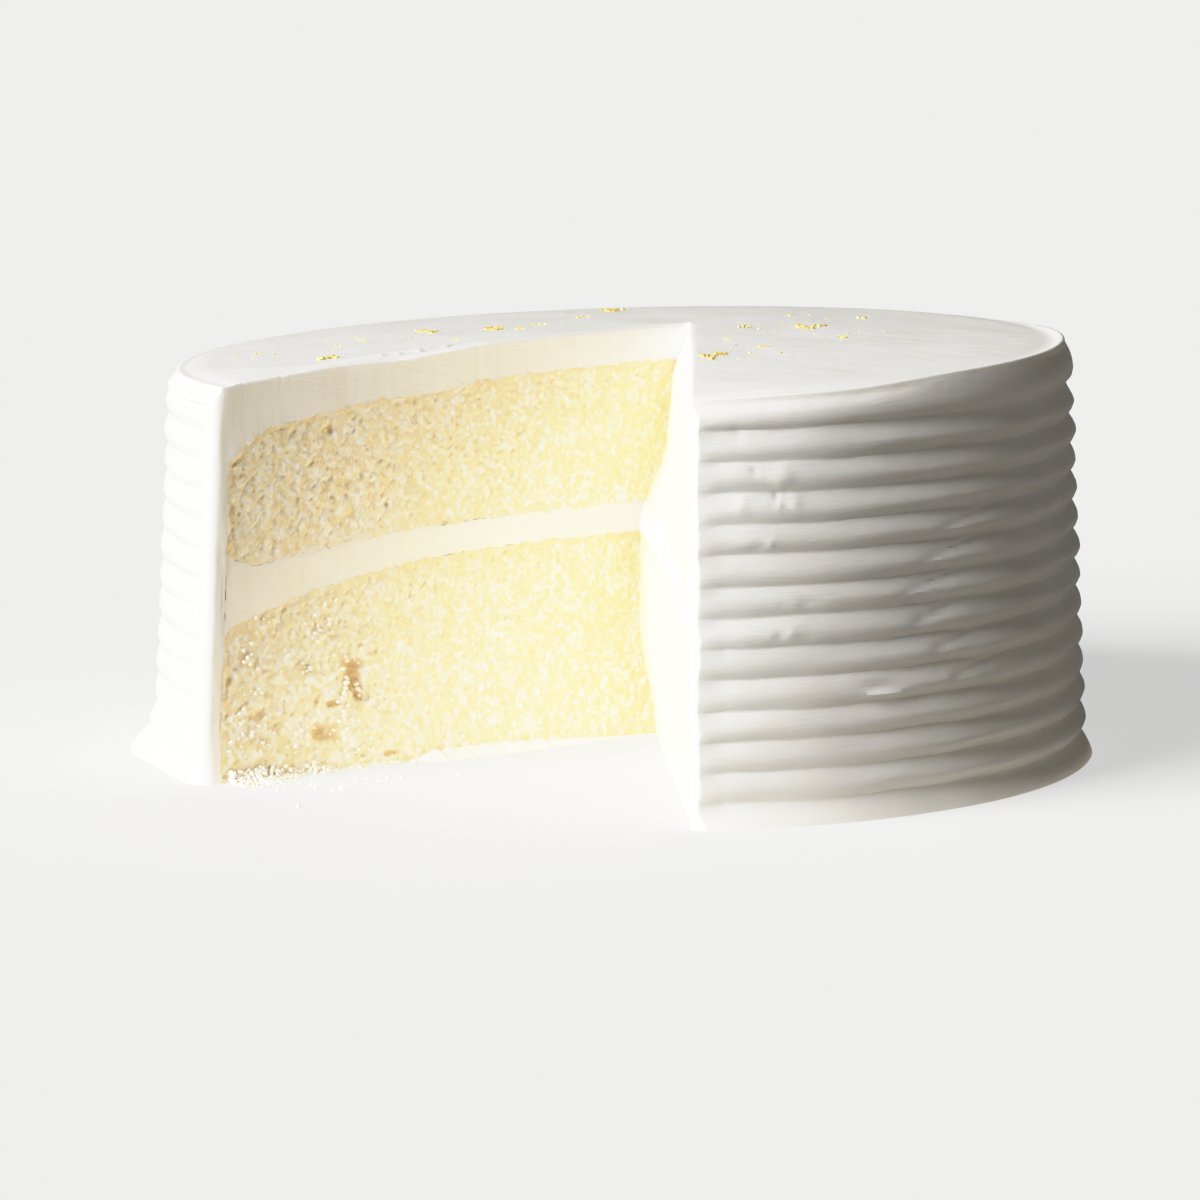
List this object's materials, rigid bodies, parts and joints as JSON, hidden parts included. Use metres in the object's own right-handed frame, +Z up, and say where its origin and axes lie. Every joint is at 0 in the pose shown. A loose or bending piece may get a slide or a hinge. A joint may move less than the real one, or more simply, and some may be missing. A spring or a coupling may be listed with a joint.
{
  "type": "layer cake",
  "caption": "White frosted layer cake with a wedge cut out, showing pale sponge and cream filling; the side is combed into level bands.",
  "frame": {"origin": "middle of the cake's bounding box, on the surface it stands on", "axes": "+Z up; the missing wedge opens towards -Y and -X, so -Y is the side that shows the cut"},
  "size_m": [0.1824, 0.1776, 0.0796],
  "materials": {
    "frosting": "soft satin buttercream, white, combed into bands",
    "filling": "smooth cream, faintly yellow",
    "sponge": "dull open crumb, pale yellow"
  },
  "bodies": {
    "root": {"lower_layer": "sponge", "filling": "filling", "upper_layer": "sponge", "frosting": "frosting"}
  },
  "joints": []
}
